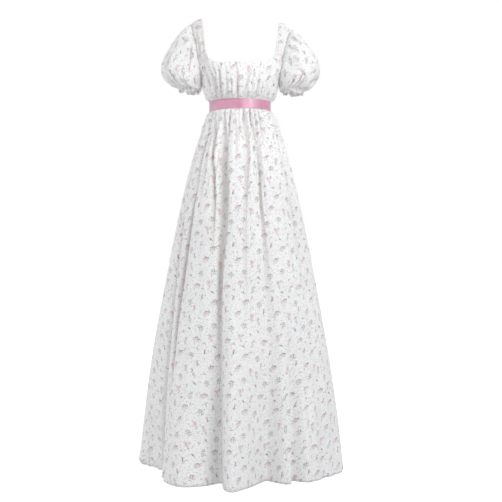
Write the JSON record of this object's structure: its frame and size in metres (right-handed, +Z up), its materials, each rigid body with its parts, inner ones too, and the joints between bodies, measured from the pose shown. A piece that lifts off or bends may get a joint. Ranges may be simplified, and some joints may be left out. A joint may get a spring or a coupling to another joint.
{
  "type": "regency gown",
  "caption": "Empire-line gown of ditsy-print cotton with puff sleeves, a scooped neckline, a satin ribbon under the bust and a floor-length gathered skirt, hollow as when worn.",
  "frame": {"origin": "midway between the tops of the two shoulder straps, where the wearer carries the gown", "axes": "+Z up, +X to the viewer's right (the wearer's left), the front of the gown faces -Y"},
  "size_m": [0.6705, 0.6531, 1.4542],
  "materials": {
    "printed_cotton": "matt white cotton lawn with a small rose and grey flower print",
    "satin_ribbon": "rose pink satin ribbon"
  },
  "bodies": {
    "root": {"bodice_front": "printed_cotton", "bodice_back": "printed_cotton", "strap_right": "printed_cotton", "strap_left": "printed_cotton", "sleeve_right": "printed_cotton", "sleeve_left": "printed_cotton", "skirt_front": "printed_cotton", "skirt_back": "printed_cotton", "ribbon": "satin_ribbon"}
  },
  "joints": []
}
